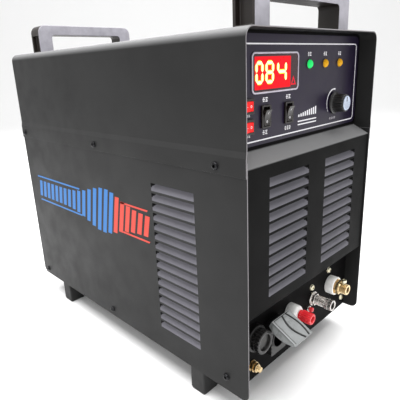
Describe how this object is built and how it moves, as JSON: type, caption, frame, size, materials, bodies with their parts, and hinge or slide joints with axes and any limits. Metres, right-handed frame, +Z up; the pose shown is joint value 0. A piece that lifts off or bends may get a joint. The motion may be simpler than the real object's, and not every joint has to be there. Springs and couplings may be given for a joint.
{
  "type": "plasma cutter power unit",
  "caption": "Floor-standing plasma cutter power unit: louvred steel cabinet, hood with two handles, recessed control panel and front output terminals.",
  "frame": {"origin": "on the floor under the centre of the cabinet", "axes": "+Z up, the control panel and terminals face -Y, +X to the right of someone facing the front"},
  "size_m": [0.3268, 0.6598, 0.5735],
  "materials": {
    "cabinet_paint": "fine textured powder coat, dark grey",
    "panel_black": "satin printed film",
    "handle_plastic": "moulded, fine texture",
    "rubber": "matt",
    "screw_black": "black oxide",
    "screw_brass": "plated",
    "zinc": "zinc plated",
    "bezel_light": "satin",
    "display_red": "tinted window",
    "lamp": "clear tinted",
    "switch_black": "satin",
    "switch_red": "gloss",
    "knob_black": "satin",
    "cap_silver": "spun",
    "insulator_white": "gloss",
    "brass": "machined",
    "nickel": "nickel plated",
    "terminal_black": "moulded",
    "terminal_red": "gloss",
    "cover_grey": "satin",
    "board_green": "solder mask",
    "aluminium": "extruded",
    "ferrite": "sintered",
    "copper_winding": "enamelled copper",
    "module_grey": "moulded",
    "hose_blue": "braided hose"
  },
  "bodies": {
    "cabinet": {"base_pan": "cabinet_paint", "left_side_panel": "cabinet_paint", "right_side_panel": "cabinet_paint", "hood_cover": "cabinet_paint", "front_panel": "cabinet_paint", "terminal_panel": "cabinet_paint", "control_panel": "cabinet_paint", "control_overlay": "panel_black", "rear_panel": "cabinet_paint", "front_handle": "handle_plastic", "rear_handle": "handle_plastic", "feet": "rubber", "panel_screws": "screw_black", "mounting_screws": "zinc", "fan_screws": "screw_black", "display_bezel": "bezel_light", "display_window": "display_red", "display_module": "switch_black", "pilot_lamps": "lamp", "switch_housings": "switch_black", "potentiometer": "zinc", "torch_insulator": "insulator_white", "torch_fitting": "brass", "trigger_socket": "nickel", "trigger_insert": "terminal_black", "pilot_base": "insulator_white", "pilot_stud": "brass", "earth_socket": "terminal_black", "earth_contact": "brass", "ground_terminal": "brass", "fuse_holder": "terminal_red", "aux_socket": "terminal_black", "aux_pin": "zinc", "breaker": "switch_black", "cable_gland": "terminal_black", "gas_inlet": "brass", "solenoid_valve": "brass", "gas_hose": "hose_blue", "fan_frame": "switch_black", "fan_guard": "zinc", "heatsink": "aluminium", "power_modules": "module_grey", "main_board": "board_green", "bus_capacitors": "switch_black", "transformer_core": "ferrite", "transformer_winding": "copper_winding", "output_choke": "copper_winding", "control_board": "board_green", "board_standoffs": "brass"},
    "gas_test_switch": {"gas_test_rocker": "switch_black"},
    "latch_switch": {"latch_rocker": "switch_black"},
    "power_switch": {"power_rocker": "switch_red"},
    "mode_switch": {"mode_rocker": "switch_red"},
    "knob": {"current_knob": "knob_black", "knob_cap": "cap_silver", "knob_shaft": "zinc"},
    "pilot_screw_cap": {"pilot_cap": "terminal_red"},
    "outlet_cover": {"aux_cover": "cover_grey"},
    "fan": {"fan_rotor": "terminal_black"},
    "breaker_lever": {"breaker_toggle": "switch_black"}
  },
  "joints": [
    {"name": "gas_test_rock", "type": "hinge", "parent": "cabinet", "child": "gas_test_switch", "pos_m": [-0.09, -0.2743, 0.417], "axis": [1, 0, 0], "range_deg": [-24, 0]},
    {"name": "latch_rock", "type": "hinge", "parent": "cabinet", "child": "latch_switch", "pos_m": [-0.04, -0.2743, 0.417], "axis": [1, 0, 0], "range_deg": [-24, 0]},
    {"name": "power_rock", "type": "hinge", "parent": "cabinet", "child": "power_switch", "pos_m": [-0.127, -0.2743, 0.432], "axis": [0, 0, 1], "range_deg": [-24, 0]},
    {"name": "mode_rock", "type": "hinge", "parent": "cabinet", "child": "mode_switch", "pos_m": [-0.127, -0.2743, 0.4075], "axis": [0, 0, 1], "range_deg": [-24, 0]},
    {"name": "knob_turn", "type": "hinge", "parent": "cabinet", "child": "knob", "pos_m": [0.0812, -0.285, 0.419], "axis": [0, -1, 0], "range_deg": [-135, 135]},
    {"name": "pilot_cap_turn", "type": "hinge", "parent": "cabinet", "child": "pilot_screw_cap", "pos_m": [-0.025, -0.301, 0.113], "axis": [0, -1, 0], "range_deg": [0, 720]},
    {"name": "outlet_cover_hinge", "type": "hinge", "parent": "cabinet", "child": "outlet_cover", "pos_m": [-0.072, -0.29, 0.124], "axis": [1, 0, 0], "range_deg": [-40, 63]},
    {"name": "fan_spin", "type": "hinge", "parent": "cabinet", "child": "fan", "pos_m": [0, 0.262, 0.318], "axis": [0, 1, 0], "continuous": true},
    {"name": "breaker_switch", "type": "hinge", "parent": "cabinet", "child": "breaker_lever", "pos_m": [-0.07, 0.2835, 0.16], "axis": [1, 0, 0], "range_deg": [-50, 0]}
  ]
}
